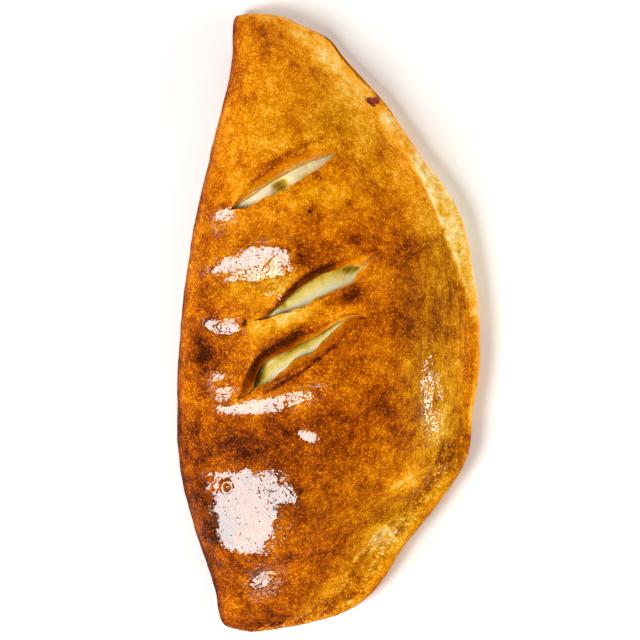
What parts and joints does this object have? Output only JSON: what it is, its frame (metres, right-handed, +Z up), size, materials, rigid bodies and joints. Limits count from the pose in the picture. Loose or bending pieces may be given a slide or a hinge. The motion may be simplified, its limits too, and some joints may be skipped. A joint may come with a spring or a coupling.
{
  "type": "calzone",
  "caption": "Baked calzone: domed golden-brown crust folded over a melted cheese filling, with a rolled seam along one side and slanted knife slits that show the cheese.",
  "frame": {"origin": "on the flat underside, below the middle of the outline", "axes": "+Z up from the flat underside; +Y along the length towards the far, narrower end; +X across the width towards the rolled seam, with the fold at -X"},
  "size_m": [0.1538, 0.316, 0.0554],
  "materials": {
    "baked_crust": "oiled golden-brown baked dough with fine speckle, pale along the seam and dark in burnt spots",
    "melted_cheese": "melted pale yellow cheese, moist and slightly translucent, olive in the shade"
  },
  "bodies": {
    "root": {"crust": "baked_crust", "cheese_filling": "melted_cheese"}
  },
  "joints": []
}
